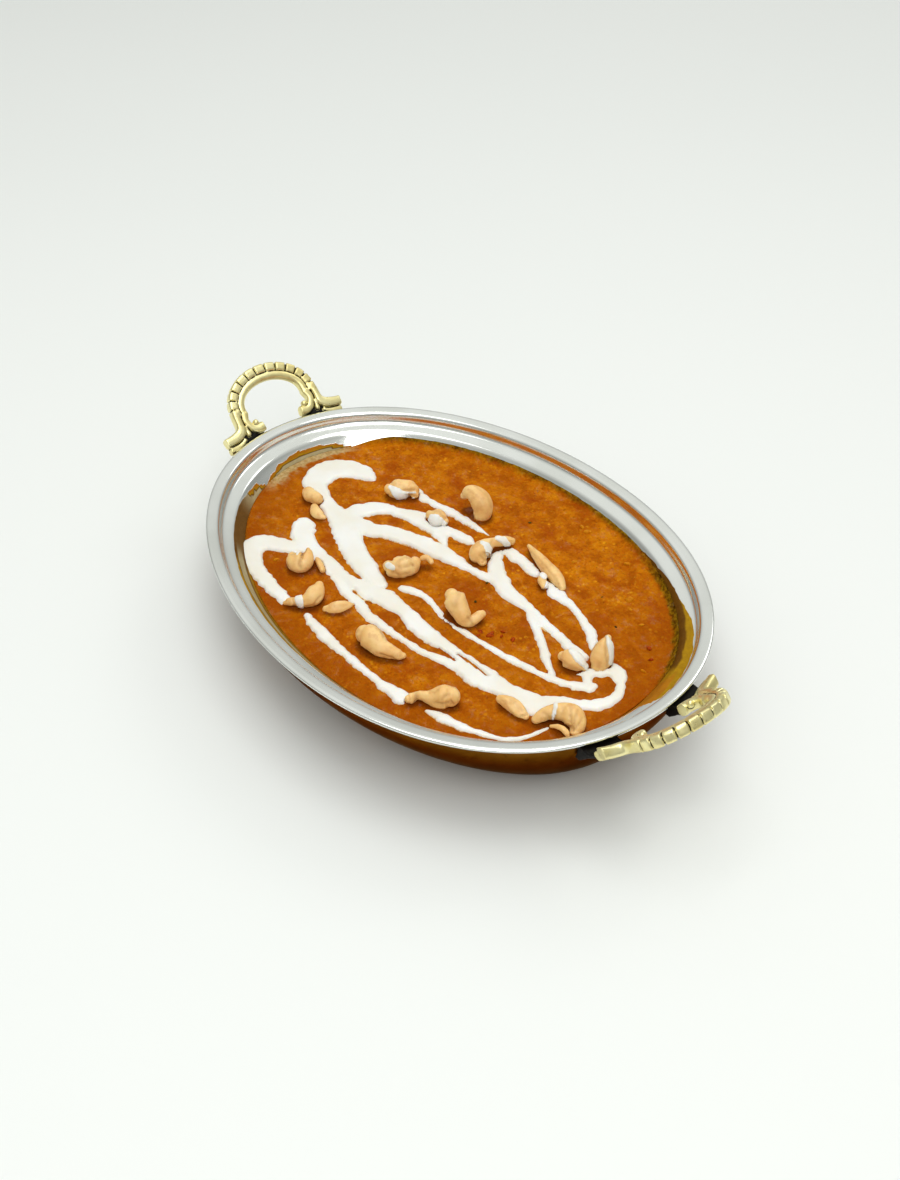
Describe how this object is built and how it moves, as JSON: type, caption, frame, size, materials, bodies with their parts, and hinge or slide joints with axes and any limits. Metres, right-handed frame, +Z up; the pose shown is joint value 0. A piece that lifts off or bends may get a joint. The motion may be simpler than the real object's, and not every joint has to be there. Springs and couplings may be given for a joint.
{
  "type": "cashew curry in a handled serving dish",
  "caption": "Orange cashew curry with poured cream and whole and halved cashews, in an oval steel-lined copper serving dish with cast brass scroll handles.",
  "frame": {"origin": "middle of the dish's length and width, on the surface it stands on", "axes": "+X along the dish towards the nearer handle, +Y across it, +Z up"},
  "size_m": [0.2626, 0.1616, 0.0559],
  "materials": {
    "liner_steel": "polished stainless steel, brightest on its rolled rim",
    "jacket_copper": null,
    "handle_brass": "pale cast brass, satin, blackened in its recesses",
    "curry_sauce": "food, thick grainy sauce with an oily sheen; the cream on it is off-white",
    "cashew_kernel": "food, fried cashew kernel, satin with a thin coat of sauce"
  },
  "bodies": {
    "root": {"steel_liner": "liner_steel", "copper_jacket": "jacket_copper", "handle_near": "handle_brass", "handle_far": "handle_brass", "curry": "curry_sauce", "cashew_hook_upper": "cashew_kernel", "cashew_hook_lower": "cashew_kernel", "cashew_creamed_far": "cashew_kernel", "cashew_standing": "cashew_kernel", "cashew_creamed_small": "cashew_kernel", "cashew_arched": "cashew_kernel", "cashew_sliver": "cashew_kernel", "cashew_sliver_bit": "cashew_kernel", "cashew_split": "cashew_kernel", "cashew_curled_bit": "cashew_kernel", "cashew_left_round": "cashew_kernel", "cashew_left_slice": "cashew_kernel", "cashew_left_bent": "cashew_kernel", "cashew_flat_half": "cashew_kernel", "cashew_large": "cashew_kernel", "cashew_propped": "cashew_kernel", "cashew_knobby": "cashew_kernel", "cashew_near_piece": "cashew_kernel", "cashew_right_round": "cashew_kernel", "cashew_right_upright": "cashew_kernel", "cashew_crescent": "cashew_kernel", "cashew_crescent_bit": "cashew_kernel"}
  },
  "joints": []
}
